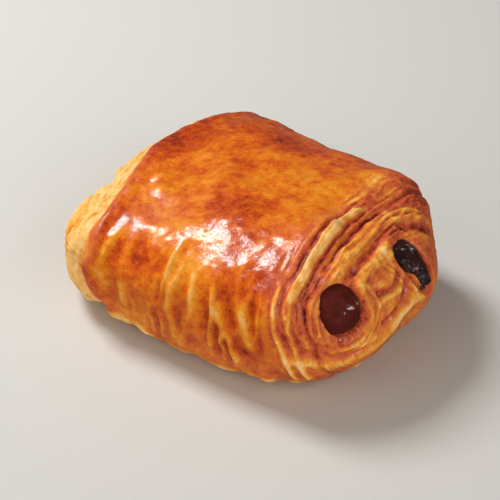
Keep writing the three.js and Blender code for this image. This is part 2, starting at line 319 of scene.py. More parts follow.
def lumps(p):
    x = p[..., 0] + LUMP_WARP * np.sin(p[..., 1] / 15)
    y = p[..., 1] + LUMP_WARP * np.sin(p[..., 2] / 13 + 1)
    z = p[..., 2] + LUMP_WARP * np.sin(p[..., 0] / 17 + 2)
    total = 0
    for i in range(LUMP_COUNT):
        lift = 1 - (2 * i + 1) / LUMP_COUNT
        level = np.sqrt(1 - lift * lift)
        turn = i * GOLDEN_ANGLE
        along = x * level * np.cos(turn) + y * level * np.sin(turn) + z * lift
        length = LUMP_LENGTH * (0.8 + 0.25 * np.cos(3.1 * i))
        total = total + np.sin(2 * np.pi * along / length + 1.7 * i)
    return LUMP_HEIGHT * total / np.sqrt(LUMP_COUNT)


def distance_from(place, p):
    return np.linalg.norm(p - np.array(place), axis=-1)


def dents(p):
    h = 0
    for dent in DENTS:
        h = h - dent["depth"] * hump(distance_from(dent["at"], p) / dent["width"])
    return h


def wavering(p):
    """How much the turns of dough waver from their even course."""
    return 1.0 * noise(p, 12, 1) + 0.8 * noise(p, 5, 2) + 0.3 * noise(p, 2.2, 3)


def strips(past, phi):
    """The strips along the near lip, with flat tops and crisp edges, up to 1."""
    h = 0
    for strip in STRIPS:
        stretch = window(phi, strip["first"], strip["last"], strip["soft"])
        low, high = strip["at"] - strip["half"], strip["at"] + strip["half"]
        h = h + strip["height"] * stretch * window(past, low, high, STRIP_EDGE)
    return h


def crevice(past, phi):
    """The gap in front of the strips, where they lift off the turn below. lip_tint paints shade into it.
    """
    return window(phi, 76, 128, 14) * hump((past - 0.9) / 0.8)


def rings(past, phi):
    """The inner turns of dough that show past the outer one, and the groove round them."""
    spread = np.maximum(0, (88 - phi) / 40)
    outer = 10.4 + 6 * spread * spread
    inner = 13.4 + 6.5 * ease((78 - phi) / 34) - 2.4 * ease((phi - 112) / 20)
    h = window(phi, 40, 118, 14) * hump((past - outer) / 1.4)
    h = h + window(phi, 30, 140, 14) * hump((past - inner) / 1.4)
    return h, window(phi, 40, 118, 16) * hump((past - inner - 4.2) / 2.0)


def far_layers(p, behind):
    """Wavy turns of pale dough behind the far edge of the outer turn."""
    course = behind + 1.2 * noise(p, 7, 18) + 1.5 * noise(p, 16, 20)
    h = 0
    for turn in FAR_TURNS:
        h = h + turn["height"] * hump((course - turn["at"]) / turn["width"])
    return h * (0.7 + 0.6 * noise(p, 9, 19)) * ease((45 - behind) / 8)


def layer_share(past):
    """Place within one thin layer of dough, 0 at its foot and 1 at its edge."""
    return past / LAYER_PITCH - np.floor(past / LAYER_PITCH)


def layer_zone(p, past, behind, phi):
    strength = np.clip(0.4 + 1.0 * noise(p, 5, 4), 0, 1)
    near = window(past, -4, 19, 4) * (0.25 + 0.75 * window(phi, 62, 168, 16))
    return strength * (near + 0.8 * ease((behind + 1) / 3) * ease((34 - behind) / 12))


def flakes(past, phi):
    """Thin torn layers that run round the roll at its ends, from -1 to 1."""
    sheet = np.abs(noise(np.stack([0.75 * past, 0.11 * phi, 0 * phi], -1), 1.0, 15))
    return (1 - 4 * np.minimum(sheet, 0.5)) * (1 - 0.6 * window(phi, 176, 236, 20))


def flake_zone(past, behind):
    near = ease((past + 1) / 3) * ease((34 - past) / 12)
    return near + ease((behind + 1) / 3) * ease((34 - behind) / 12)


def sleeve_relief(past, behind, phi, edges):
    h = SLEEVE_THICKNESS * (1 - ease((past - 2.8) / 2.4)) * (1 - ease((behind + 0.6) / 2.4))
    h = h + STRIP_HEIGHT * edges - CREVICE_DEPTH * crevice(past, phi)
    h = h - 0.6 * GROOVE_DEPTH * hump((past - 8.0) / 1.3) * (1 - 0.5 * window(phi, 104, 140, 8))
    h = h + 0.6 * LIP_HEIGHT * hump((behind + 2.0) / 3.0)
    h = h - 0.7 * GROOVE_DEPTH * hump((behind - 2.5) / 2.5)
    ring, groove = rings(past, phi)
    return h + RING_HEIGHT * ring - BAND_DEPTH * groove


def distance_to(p, path):
    """Distance in the end face from points to a line through (y, z) places."""
    nearest = np.inf
    for a, b in zip(path, path[1:]):
        d = np.subtract(b, a)
        t = np.clip(((p[..., 1] - a[0]) * d[0] + (p[..., 2] - a[1]) * d[1]) / (d @ d), 0, 1)
        nearest = np.minimum(nearest, np.hypot(p[..., 1] - a[0] - t * d[0], p[..., 2] - a[1] - t * d[1]))
    return nearest


def end_folds(p, facing):
    """Ridges and creases of the end face, each with a line that wavers a little."""
    h = 0
    for fold in END_FOLDS:
        off = distance_to(p, fold["path"]) + 0.5 * noise(p, 4, 10)
        h = h + fold["height"] * hump(off / fold["width"])
    return h * ease((facing - 0.15) / 0.3)


def side_share(phi):
    """How much a place belongs to the long sides, from 0 to 1."""
    return window(phi, 138, 208, 22) + 0.85 * window(phi, -30, 34, 22)


def on_sleeve(past, behind):
    """1 on the outer turn, away from both of its lips."""
    return ease((-past - 4) / 5) * ease((-behind - 1) / 4)


def rib_crests(p):
    """The ribs of the long sides; the hidden side has them in the other order."""
    along = p[..., 0] * np.where(p[..., 1] > 0, -1, 1)
    h = 0
    for ridge in SIDE_WRINKLES:
        off = along - ridge["x"] - ridge["lean"] * (p[..., 2] - BELT)
        off = off + 1.4 * noise(p, 11, 5)
        h = h + ridge["height"] * hump(off / (0.75 * ridge["width"]))
    return h


def thin_ribs(p):
    """Narrow upright crests between the ribs, up to 1."""
    bent = p + 2.5 * np.stack([noise(p, 9, 14), 0 * p[..., 0], 0 * p[..., 0]], -1)
    upright = noise(bent * np.array([1.0, 0.28, 0.28]), 4.2, 6)
    return 1 - 4 * np.abs(upright)


# Thin lines along the rib crests, which rib_tint paints paler as a highlight
def crest_highlight_lines(p):
    return hump((1 - thin_ribs(p)) / 0.5)


def wrinkle_zone(p, past, behind, phi):
    """Where the long sides are wrinkled, stronger in some places than in others."""
    strength = np.clip(0.85 + 0.9 * noise(p, 10, 25), 0.25, 1.3)
    return side_share(phi) * on_sleeve(past, behind) * strength


def wrinkle_relief(p, past, behind, phi):
    ribs = 0.8 * rib_crests(p) - 0.9 + 0.7 * thin_ribs(p)
    sunken = side_share(phi) * on_sleeve(past, behind)
    return RIB_HEIGHT * (wrinkle_zone(p, past, behind, phi) * ribs - 1.1 * sunken)


def bar_centre(bar, x):
    t = (bar["near"][0] - x) / (bar["near"][0] - bar["far"][0])
    return [bar["near"][i] + t * (bar["far"][i] - bar["near"][i]) for i in (1, 2)]


def mouth_distance(p, bar):
    """Roughly how far, in millimetres, a point lies outside a bar's section; negative inside."""
    cy, cz = bar_centre(bar, p[..., 0])
    dz = p[..., 2] - FLAT - cz
    rise = np.clip(dz / bar["half"][1], -1, 1)
    dy = p[..., 1] - cy - bar["lean"] * dz
    wide = bar["half"][0] + bar["pinch"] * rise
    power = 2 / bar["box"]
    q = (np.abs(dy / wide) ** power + np.abs(dz / bar["half"][1]) ** power) ** (1 / power)
    return (q - 1) * 0.5 * (wide + bar["half"][1])


def mouth_relief(p, facing):
    """A soft rim round each mouth, which turns in towards the chocolate."""
    h = 0
    for bar in (LEFT_BAR, RIGHT_BAR):
        d = mouth_distance(p, bar)
        h = h + RIM_HEIGHT * hump((d - 1.6) / RIM_WIDTH) - MOUTH_DEPTH * hump((d + 0.4) / 1.2)
    return h * ease((np.abs(facing) - 0.3) / 0.3)


def cover_relief(clear, facing):
    """Dough that closes over a bar where it runs just under the crust."""
    return COVER_HEIGHT * hump((clear + 0.4) / 2.2) * (1 - ease((np.abs(facing) - 0.36) / 0.1))


def end_wrinkles(p, facing):
    """Fine wrinkles that follow the mouths round the end face."""
    h = 0
    for bar in (LEFT_BAR, RIGHT_BAR):
        d = mouth_distance(p, bar) + 1.6 * noise(p, 6, 7)
        h = h + window(d, 1.5, 8, 3) * np.sin(2 * np.pi * d / 2.4)
    return h * ease((np.abs(facing) - 0.25) / 0.3) * (0.6 + 0.8 * noise(p, 6, 8))


def foot_frill(p):
    """The thin ruffled edge that the dough spreads over the tray."""
    edge = p[..., 2] - FLAT - 5.2 - 1.8 * noise(p, 7, 16)
    return np.where(edge > 0, hump(edge / 1.1), hump(edge / 3)) * (0.8 + 0.8 * noise(p, 4, 9))


def fine_relief(p, normal, past, behind, phi):
    h = LAYER_HEIGHT * layer_zone(p, past, behind, phi) * (ease(layer_share(past) / 0.8) - 0.5)
    h = h + BLISTER_HEIGHT * (noise(p, 6.5, 11) + 0.7 * noise(p, 3.1, 12))
    h = h + GRAIN_HEIGHT * noise(p, 1.6, 13) + SWELL_HEIGHT * noise(p, 12, 17)
    h = h + FLAKE_HEIGHT * flake_zone(past, behind) * flakes(past, phi)
    h = h + FAR_LAYER_HEIGHT * far_layers(p, behind)
    h = h + END_WRINKLE_HEIGHT * end_wrinkles(p, normal[..., 0])
    return h + mouth_relief(p, normal[..., 0])


def pastry_point(sigma, phi):
    """A point of the finished crust, and what the smooth roll and its relief are like there.

    past and behind say how far a place lies beyond the near and the far lip, in degrees.
    """
    smooth = base_form(sigma, phi)
    normal = base_normal(sigma, phi)
    past = near_lip(phi) - sigma + wavering(smooth)
    behind = sigma - far_lip(phi) + wavering(smooth)
    edges = strips(near_lip(phi) - sigma + 0.45 * wavering(smooth), phi)
    above = smooth[..., 2] - FLAT
    clear = np.minimum(mouth_distance(smooth, LEFT_BAR), mouth_distance(smooth, RIGHT_BAR))
    h = sleeve_relief(past, behind, phi, edges) + end_folds(smooth, normal[..., 0])
    h = np.where(h < 0, h * ease((clear - 0.3) / 4), h * ease((clear + 0.5) / 2.5))
    h = h + cover_relief(clear, normal[..., 0])
    h = (h + fine_relief(smooth, normal, past, behind, phi)) * ease(above / 6)
    h = h + wrinkle_relief(smooth, past, behind, phi) * ease((above + 1) / 3)
    h = h + lumps(smooth) + dents(smooth) + FOOT_HEIGHT * foot_frill(smooth)
    p = smooth + normal * h[..., None]
    p[..., 2] = np.maximum(p[..., 2] - FLAT, 0)
    return p, smooth, normal, past, behind, edges, h


def row_sigma(rows_done, phi):
    """Rows of the mesh follow the lips, close together where the relief is fine."""
    lip, collar = near_lip(phi), far_lip(phi)
    stops = [0 * lip, lip - FACE_EDGE, lip + 5, collar - 4, collar + 7, 0 * lip + 180]
    counts = [ROWS["face"], ROWS["rings"], ROWS["sleeve"], ROWS["collar"], ROWS["back"]]
    left, zone = rows_done, 0
    while left > counts[zone]:
        left -= counts[zone]
        zone += 1
    share = left / counts[zone]
    return stops[zone] * (1 - share) + stops[zone + 1] * share


# How brown the crust is, from 0 (pale dough) to 1 (nearly burnt), with painted shade added. Above BROWN
# it darkens slower.
MEAN_BAKE = 0.47
BROWN = 0.6
BROWN_SLOPE = 0.45
STRIP_MOTTLE = 0.22

# How much darker each form is than the crust round it, or paler where the number is below 0.
# Where marked, the difference is painted shade and a painted highlight.
TINT = dict(
    strip=-0.5,
    strip_edge=0.16,
    # painted shade in the gap in front of the strips
    crevice=0.12,
    # painted shade in the groove between the lip and the inner turns
    groove=0.2,
    lip_beyond_top=0.2,
    turns=0.05,
    face=-0.05,
    ring=-0.24,
    # painted shade in the groove round the inner turns
    band_shade=0.36,
    flake=-0.1,
    layer_foot=0.26,
    layer_edge=-0.16,
    fold=-0.3,
    end_wrinkle=-0.1,
    rib=-0.15,
    thin_rib=-0.06,
    # a painted highlight along the rib crests
    crest_highlight=-0.03,
    far_lip=0.18,
    far_dough=-0.44,
    far_layer=-0.22,
    far_end=0.24,
    foot_frill=-0.42,
    underside=0.1,
    # painted shade round the rims of the mouths
    mouth_rim_shade=0.2,
    # painted shade in the hollows of the relief
    hollow_shade=0.2,
)

# Patches of the crust that are browner or paler, as in the photograph
PATCHES = [
    dict(at=(20, 9, 45), reach=12, bake_and_shade=-0.14),
    dict(at=(1, 16, 44), reach=9, bake_and_shade=-0.12),
    dict(at=(-18, -3, 42), reach=8, bake_and_shade=-0.16),
    dict(at=(-43, -1, 38), reach=8, bake_and_shade=0.24),
    dict(at=(-29, -21, 40), reach=8, bake_and_shade=-0.1),
    dict(at=(-12, -31, 40), reach=7, bake_and_shade=-0.08),
    dict(at=(5, -44, 33), reach=7, bake_and_shade=-0.06),
    dict(at=(3, -15, 44), reach=11, bake_and_shade=0.12),
    dict(at=(-11, 27, 41), reach=11, bake_and_shade=0.16),
    dict(at=(-42, 10, 38), reach=10, bake_and_shade=0.14),
    dict(at=(-27, -34, 38), reach=8, bake_and_shade=0.1),
    dict(at=(30, -33, 40), reach=6, bake_and_shade=0.14),
    dict(at=(31, 33, 38), reach=13, bake_and_shade=0.08),
    dict(at=(-34, -45, 27), reach=10, bake_and_shade=-0.03),
    dict(at=(50, -6, 37.6), reach=5, bake_and_shade=0.2),
    dict(at=(49, 16.5, 34.8), reach=6, bake_and_shade=0.14),
    dict(at=(50, 18, 28.8), reach=6, bake_and_shade=0.1),
    dict(at=(50, -28, 27), reach=6, bake_and_shade=0.03),
    dict(at=(40, 25, 39), reach=6, bake_and_shade=0.1),
    dict(at=(53, -14, 34), reach=4, bake_and_shade=0.14),
    dict(at=(4, -40, 37), reach=5, bake_and_shade=-0.16),
    dict(at=(-29.5, -48, 25), reach=3, bake_and_shade=-0.16),
    dict(at=(-37, -43, 32), reach=4, bake_and_shade=-0.16),
    dict(at=(-33, -16, 39.5), reach=6, bake_and_shade=-0.16),
    dict(at=(-17.6, -46, 30), reach=3, bake_and_shade=-0.16),
    dict(at=(-10, -46, 29), reach=4, bake_and_shade=-0.16),
    dict(at=(17, -45.5, 27), reach=5, bake_and_shade=-0.12),
    dict(at=(-33, -48.5, 22), reach=4, bake_and_shade=0.18),
    dict(at=(-20, -45, 31.5), reach=7, bake_and_shade=0.1),
    dict(at=(1, -47, 20), reach=6, bake_and_shade=0.04),
    dict(at=(24.5, -44, 27), reach=5, bake_and_shade=0.08),
    dict(at=(22, -40, 36), reach=5, bake_and_shade=0.05),
    dict(at=(12, -45, 30.5), reach=5, bake_and_shade=-0.15),
    dict(at=(36, 8, 43.7), reach=5, bake_and_shade=0.14),
    dict(at=(46, -33, 26), reach=4, bake_and_shade=-0.14),
    dict(at=(25, -43, 31), reach=4, bake_and_shade=-0.14),
    dict(at=(55, -9, 21), reach=8, bake_and_shade=0.08),
    dict(at=(-16, 26, 40.6), reach=7, bake_and_shade=0.26),
    dict(at=(25.4, 24.6, 43.2), reach=5, bake_and_shade=-0.45),
    dict(at=(31, 31, 41), reach=6, bake_and_shade=0.2),
    dict(at=(13, 31, 42), reach=6, bake_and_shade=0.13),
    dict(at=(50, -29, 23), reach=5, bake_and_shade=0.04),
    dict(at=(55, -10, 28), reach=5, bake_and_shade=-0.1),
    dict(at=(-30, 30, 38), reach=7, bake_and_shade=0.16),
    dict(at=(-39, 27, 37), reach=6, bake_and_shade=0.08),
    dict(at=(-48, 9, 36), reach=6, bake_and_shade=0.26),
    dict(at=(-43, 17, 37.7), reach=5, bake_and_shade=0.08),
    dict(at=(30, 34, 38.6), reach=7, bake_and_shade=0.16),
    dict(at=(-12, -48, 17), reach=8, bake_and_shade=-0.1),
]


def lip_tint(p, phi, past, edges):
    """Pale strips and pale rings of dough round the near end, and painted shade in its gaps and grooves.
    """
    flat = np.minimum(edges, 1)
    tint = (TINT["strip"] - STRIP_MOTTLE * noise(p, 3.6, 26)) * flat
    tint = tint + TINT["strip_edge"] * np.minimum(4 * edges * (1 - flat), 1)
    # Painted shade in the gap in front of the strips
    tint = tint + TINT["crevice"] * crevice(past, phi)
    # Painted shade in the groove between the lip and the inner turns
    tint = tint + TINT["groove"] * hump((past - 8.2) / 1.3)
    tint = tint + TINT["lip_beyond_top"] * window(phi, 48, 84, 12) * hump((past - 2.0) / 1.8)
    tint = tint + TINT["turns"] * ease((past + 2) / 3) * ease((16 - past) / 4)
    tint = tint + TINT["face"] * ease((past - 20) / 5)
    # Pale rings of dough, and painted shade in the groove round the inner turns
    ring, band_shade = rings(past, phi)
    return tint + TINT["ring"] * ring + TINT["band_shade"] * band_shade


def layer_tint(p, past, behind, phi):
    """Darker feet and pale edges of the thin layers, and the flakes between them."""
    share = layer_share(past)
    foot, edge = hump((share - 0.06) / 0.16), hump((share - 0.8) / 0.2)
    tint = TINT["layer_foot"] * foot + TINT["layer_edge"] * edge
    tint = tint * layer_zone(p, past, behind, phi)
    return tint + TINT["flake"] * flake_zone(past, behind) * flakes(past, phi)


def rib_tint(p, past, behind, phi):
    """Ribs that are paler on top. What is taken off each form is about its mean."""
    tint = TINT["rib"] * (rib_crests(p) - 0.35)
    tint = tint + TINT["thin_rib"] * (thin_ribs(p) + 0.35)
    # Painted highlight along the rib crests
    tint = tint + TINT["crest_highlight"] * (crest_highlight_lines(p) - 0.25)
    return tint * wrinkle_zone(p, past, behind, phi)


def far_tint(p, behind):
    """The browner far lip, and the pale dough beyond it."""
    beyond = ease((behind - 0.4) / 1.6)
    tint = beyond * (TINT["far_dough"] + TINT["far_layer"] * far_layers(p, behind))
    tint = tint + TINT["far_lip"] * hump((behind + 1.8) / 1.7)
    return tint + TINT["far_end"] * ease((behind - 10) / 14)


def bake_and_shade_of(p, normal, phi, past, behind, edges):
    facing = normal[..., 0]
    bake_and_shade = MEAN_BAKE + 0.11 * noise(p, 15, 21) + 0.12 * noise(p, 6, 22) + 0.1 * noise(p, 2.6, 23)
    for patch in PATCHES:
        bake_and_shade = bake_and_shade + patch["bake_and_shade"] * hump(distance_from(patch["at"], p) / patch["reach"])
    bake_and_shade = bake_and_shade + lip_tint(p, phi, past, edges) + layer_tint(p, past, behind, phi)
    bake_and_shade = bake_and_shade + TINT["fold"] * end_folds(p, facing) + TINT["end_wrinkle"] * end_wrinkles(p, facing)
    bake_and_shade = bake_and_shade + rib_tint(p, past, behind, phi) + far_tint(p, behind)
    bake_and_shade = bake_and_shade + TINT["foot_frill"] * foot_frill(p)
    bake_and_shade = bake_and_shade + TINT["underside"] * ease((FLAT + 0.4 - p[..., 2]) / 0.4)
    # Painted shade round the rim of each mouth, where the dough turns in towards the chocolate
    for bar in (LEFT_BAR, RIGHT_BAR):
        rim = hump((mouth_distance(p, bar) - 0.3) / 1.2)
        bake_and_shade = bake_and_shade + TINT["mouth_rim_shade"] * rim * ease((past - 15) / 6)
    bake_and_shade = np.where(bake_and_shade > BROWN, BROWN + BROWN_SLOPE * (bake_and_shade - BROWN), bake_and_shade)
    return np.clip(bake_and_shade, 0, 1)


# The egg wash: how much of it the inner turns have, and places where it was brushed thinly
LEAST_WASH = 0.08
DULL_PATCHES = [
    dict(at=(-22, -28, 40), reach=5),
    dict(at=(30, 36, 40), reach=14),
    dict(at=(-6, 38, 41), reach=13),
]


def wash_of(p, normal, past, behind):
    """Where the egg wash makes the crust shine: on top of the outer turn, hardly inside."""
    wash = ease((-past - 1) / 5) * ease((-behind - 1) / 3) * ease(normal[..., 2] + 0.75)
    for patch in DULL_PATCHES:
        off = distance_from(patch["at"], p) + 2 * noise(p, 5, 24)
        wash = wash * (1 - 0.85 * hump(off / patch["reach"]))
    return LEAST_WASH + (1 - LEAST_WASH) * wash


def to_frame(points):
    return (points - MIDDLE) / 1000


def add_mesh(name, points, faces):
    mesh = bpy.data.meshes.new(name)
    mesh.from_pydata(points.tolist(), [], faces)
    mesh.shade_smooth()
    piece = bpy.data.objects.new(name, mesh)
    bpy.context.scene.collection.objects.link(piece)
    return piece


def ring_faces(rows, columns):
    """Faces of a closed skin: a fan, quads between rings, and a fan at the far end."""
    faces = [(0, 1 + i, 1 + (i + 1) % columns) for i in range(columns)]
    for r in range(rows - 1):
        a = 1 + r * columns
        b = a + columns
        for i in range(columns):
            j = (i + 1) % columns
            faces.append((a + i, b + i, b + j, a + j))
    a = 1 + (rows - 1) * columns
    last = 1 + rows * columns
    faces.extend((last, a + (i + 1) % columns, a + i) for i in range(columns))
    return faces


def bar_section(bar, x, grow, count):
    """Points round the bar at place x along the roll, with heights above the table."""
    cy, cz = bar_centre(bar, x)
    angle = 2 * np.pi * np.arange(count) / count
    across = np.sign(np.cos(angle)) * np.abs(np.cos(angle)) ** bar["box"]
    rise = np.sign(np.sin(angle)) * np.abs(np.sin(angle)) ** bar["box"]
    z = (bar["half"][1] + grow) * rise
    y = (bar["half"][0] + grow + bar["pinch"] * rise) * across + bar["lean"] * z
    left = np.maximum(-across, 0)
    notch = ease((0.3 - rise) / 0.35) * ease((rise + 0.95) / 0.5)
    notch = notch - 0.45 * ease((rise - 0.1) / 0.3)
    y = y + bar["bite"] * left * notch
    return np.stack([np.full(count, float(x)), cy + y, cz + z], -1)


def blurred(grid, rows, columns):
    """Each place averaged with its neighbours; the columns close into a ring."""
    grid = sum(np.roll(grid, i, axis=1) for i in range(-columns, columns + 1)) / (2 * columns + 1)
    padded = np.pad(grid, ((rows, rows), (0, 0)), mode="edge")
    return sum(padded[i:i + len(grid)] for i in range(2 * rows + 1)) / (2 * rows + 1)


# Painted shade: hollows of the relief are coloured a little darker. They are found by blurring it
# over this many rows and columns to each side.
HOLLOW_ROWS = 4
HOLLOW_COLUMNS = 3
HOLLOW_LIMIT = 0.6


def make_pastry():
    rows = sum(ROWS.values())
    phi = SEAM + 360 * np.arange(COLUMNS) / COLUMNS
    sigma = np.stack([row_sigma(row, phi) for row in range(1, rows)])
    phi = np.broadcast_to(phi, sigma.shape)
    sigma = np.concatenate([[0.0], sigma.ravel(), [180.0]])
    phi = np.concatenate([[90.0], phi.ravel(), [90.0]])
    points, smooth, normal, past, behind, edges, relief = pastry_point(sigma, phi)
    pastry = add_mesh("crust", to_frame(points), ring_faces(rows - 1, COLUMNS))
    bake_and_shade = bake_and_shade_of(smooth, normal, phi, past, behind, edges)
    # Painted shade in the hollows of the relief, by how far it lies below its blurred surroundings
    hollow_shade = np.zeros_like(relief)
    grid = relief[1:-1].reshape(rows - 1, COLUMNS)
    hollow_shade[1:-1] = (blurred(grid, HOLLOW_ROWS, HOLLOW_COLUMNS) - grid).ravel()
    hollow_shade = np.clip(hollow_shade, -HOLLOW_LIMIT, HOLLOW_LIMIT)
    bake_and_shade = np.clip(bake_and_shade + TINT["hollow_shade"] * hollow_shade, 0, 1)
    for bar in (LEFT_BAR, RIGHT_BAR):
        cut_tunnel(pastry, bar)
    wash = wash_of(smooth, normal, past, behind)
    carry(pastry, to_frame(points), dict(bake_and_shade=bake_and_shade, wash=wash))
    return pastry


# The tunnels in the crust, cut a little tighter than the bars so that no gap shows
TUNNEL_GROW = -0.15
TUNNEL_REACH = 66
TUNNEL_STEPS = 12
TUNNEL_SIDES = 72


def cut_tunnel(piece, bar):
    xs = np.linspace(TUNNEL_REACH, -TUNNEL_REACH, TUNNEL_STEPS)
    sections = [bar_section(bar, x, TUNNEL_GROW, TUNNEL_SIDES) for x in xs]
    ends = [[x, *bar_centre(bar, x)] for x in (TUNNEL_REACH, -TUNNEL_REACH)]
    points = np.concatenate([[ends[0]], *sections, [ends[1]]])
    cutter = add_mesh("cutter", to_frame(points), ring_faces(TUNNEL_STEPS, TUNNEL_SIDES))
    cut = piece.modifiers.new("tunnel", "BOOLEAN")
    cut.operation = "DIFFERENCE"
    cut.solver = "MANIFOLD"
    cut.object = cutter
    graph = bpy.context.evaluated_depsgraph_get()
    result = bpy.data.meshes.new_from_object(piece.evaluated_get(graph))
    piece.modifiers.clear()
    piece.data = result
    bpy.data.objects.remove(cutter)


def carry(piece, old_points, values):
    """Gives each point of the cut crust the values of the nearest point before the cut."""
    tree = kdtree.KDTree(len(old_points))
    for i, p in enumerate(old_points):
        tree.insert(p, i)
    tree.balance()
    nearest = [tree.find(v.co)[1] for v in piece.data.vertices]
    for name, value in values.items():
        layer = piece.data.attributes.new(name, "FLOAT", "POINT")
        layer.data.foreach_set("value", value[nearest].astype(np.float32))


# Chocolate bars: a skin along the tunnel and a shaped cap at each end. The far caps lie a
# little inside their mouths.
BAR_SIDES = 120
BAR_STEPS = 60
CAP_RINGS = 34
FAR_RECESS = 2.0

# Rounds after which end_surface() has settled on its place
SETTLING_ROUNDS = 12

# Painted shade: a darker spot towards the lower right of each end, its (y, z) place off the middle of
# the bar, and its reach
PAINTED_SHADE_SPOT = (4.6, -4.6)
PAINTED_SHADE_REACH = 3.6


def end_surface(y, z, side):
    """Where a line along the roll at (y, z) leaves the smooth roll, at the end given by side."""
    t = 0.9 * side * np.ones_like(y)
    run = NEAR_SQUARENESS if side > 0 else FAR_SQUARENESS
    skew = NEAR_SKEW if side > 0 else FAR_SKEW
    for _ in range(SETTLING_ROUNDS):
        y0 = (y - BEND * HALF_LENGTH * t * t) / (1 + WIDTH_TAPER * t)
        z0 = z / (1 + HEIGHT_TAPER * t) - BELT
        ring = np.where(z0 > 0, TOP_SQUARENESS, FOOT_SQUARENESS)
        rise = np.where(z0 > 0, CROWN - BELT, BELT)
        g = (np.abs(y0 / HALF_WIDTH) ** ring + np.abs(z0 / rise) ** ring) ** (1 / ring)
        t = side * np.maximum(1 - np.minimum(g, 1) ** run, 1e-6) ** (1 / run)
    return HALF_LENGTH * t + skew * t * t * y


def cap(bar, side, recess, relief):
    """Rings from the rim to the middle of one end, following the slope of the end face."""
    end = bar["near"] if side > 0 else bar["far"]
    rim = bar_section(bar, end[0], 0.0, BAR_SIDES)[:, 1:]
    middle = np.array(bar_centre(bar, end[0]))
    angle = 2 * np.pi * np.arange(BAR_SIDES) / BAR_SIDES
    loops = []
    for i in range(CAP_RINGS):
        share = 1 - i / CAP_RINGS
        yz = middle + (rim - middle) * share
        x = end_surface(yz[:, 0], yz[:, 1] + FLAT, side)
        x = x + side * (relief(share, angle, yz) - recess)
        loops.append(np.stack([x, yz[:, 0], yz[:, 1]], -1))
    return loops


def in_end_face(yz):
    """Places (y, z) in an end face as points that noise() takes."""
    return np.stack([yz[:, 0], yz[:, 1], 0 * yz[:, 0]], -1)


def smooth_dome(share, angle, yz):
    """A round shining end that turns down towards the lower right of its mouth."""
    fall = 0.5 + 0.5 * np.cos(angle + 0.9)
    roll = ease((share - 0.72) / 0.28)
    p = in_end_face(yz)
    crease = fall * fall * hump((share - 0.55 - 0.12 * np.sin(3 * angle)) / 0.09)
    dimples = 0.6 * noise(p, 2.8, 34) * fall + 0.2 * noise(p, 1.3, 35)
    dome = -0.9 + 1.3 * (1 - share * share)
    return dome - (0.2 + 2.2 * fall) * roll - 0.7 * crease + dimples


def craggy_end(share, angle, yz):
    """A broken end, pitted and ridged."""
    p = in_end_face(yz)
    crags = 2.4 * np.abs(noise(p, 2.8, 31)) + 0.9 * np.abs(noise(p, 1.3, 32))
    crags = crags + 0.25 * noise(p, 0.7, 33)
    dome = -1.0 + 0.6 * (1 - share * share)
    return dome + crags * ease((1 - share) / 0.12) - ease((share - 0.9) / 0.1)


def make_bar(name, bar, relief):
    near = cap(bar, 1, 0.0, relief)
    far = cap(bar, -1, FAR_RECESS, relief)
    near_middle = np.mean(near[-1], axis=0)
    far_middle = np.mean(far[-1], axis=0)
    section = bar_section(bar, 0, 0.0, BAR_SIDES)[:, 1:] - np.array(bar_centre(bar, 0))
    skin = []
    for step in range(1, BAR_STEPS):
        share = step / BAR_STEPS
        x = near[0][:, 0] * (1 - share) + far[0][:, 0] * share
        cy, cz = bar_centre(bar, x)
        skin.append(np.stack([x, cy + section[:, 0], cz + section[:, 1]], -1))
    loops = near[::-1] + skin + far
    points = np.concatenate([[near_middle], *loops, [far_middle]])
    piece = add_mesh(name, to_frame(points), ring_faces(len(loops), BAR_SIDES))
    cy, cz = bar_centre(bar, points[:, 0])
    # Painted shade: a darker spot towards the lower right of the end
    off = np.hypot(points[:, 1] - cy - PAINTED_SHADE_SPOT[0], points[:, 2] - cz - PAINTED_SHADE_SPOT[1])
    layer = piece.data.attributes.new("painted_shade", "FLOAT", "POINT")
    layer.data.foreach_set("value", hump(off / PAINTED_SHADE_REACH).astype(np.float32))
    return piece


# Materials. The numbers are the sockets of a Mix node that mixes colours.
MIX_FACTOR, MIX_A, MIX_B, MIX_RESULT = 0, 6, 7, 2


def new_material(name):
    material = bpy.data.materials.new(name)
    material.use_nodes = True
    material.node_tree.nodes.clear()
    return material, material.node_tree


def node(tree, kind, x, y, **values):
    """A node at (x, y), with its settings and the values of its sockets by name."""
    made = tree.nodes.new(kind)
    made.location = (x, y)
    for key, value in values.items():
        if hasattr(made, key):
            setattr(made, key, value)
        else:
            made.inputs[key].default_value = value
    return made


def texture(tree, x, y, place, **values):
    """Noise over the piece's own coordinates."""
    made = node(tree, "ShaderNodeTexNoise", x, y, **values)
    tree.links.new(place.outputs["Object"], made.inputs["Vector"])
    return made.outputs["Fac"]


def map_range(tree, x, y, source, low, high, to_low, to_high):
    made = node(tree, "ShaderNodeMapRange", x, y)
    made.inputs["From Min"].default_value = low
    made.inputs["From Max"].default_value = high
    made.inputs["To Min"].default_value = to_low
    made.inputs["To Max"].default_value = to_high
    tree.links.new(source, made.inputs["Value"])
    return made.outputs["Result"]


def combine(tree, x, y, operation, first, second):
    made = node(tree, "ShaderNodeMath", x, y, operation=operation)
    tree.links.new(first, made.inputs[0])
    tree.links.new(second, made.inputs[1])
    return made.outputs["Value"]


def bump(tree, x, y, height, strength, distance):
    made = node(tree, "ShaderNodeBump", x, y, Strength=strength, Distance=distance)
    tree.links.new(height, made.inputs["Height"])
    return made.outputs["Normal"]


def show(tree, x, y, shader):
    output = node(tree, "ShaderNodeOutputMaterial", x, y)
    tree.links.new(shader.outputs["BSDF"], output.inputs["Surface"])


def linear(red, green, blue):
    """An sRGB colour, 0 to 255, as the linear colour that a shader takes."""
    shares = [c / 255 for c in (red, green, blue)]
    return tuple(c / 12.92 if c < 0.04045 else ((c + 0.055) / 1.055) ** 2.4 for c in shares) + (1.0,)


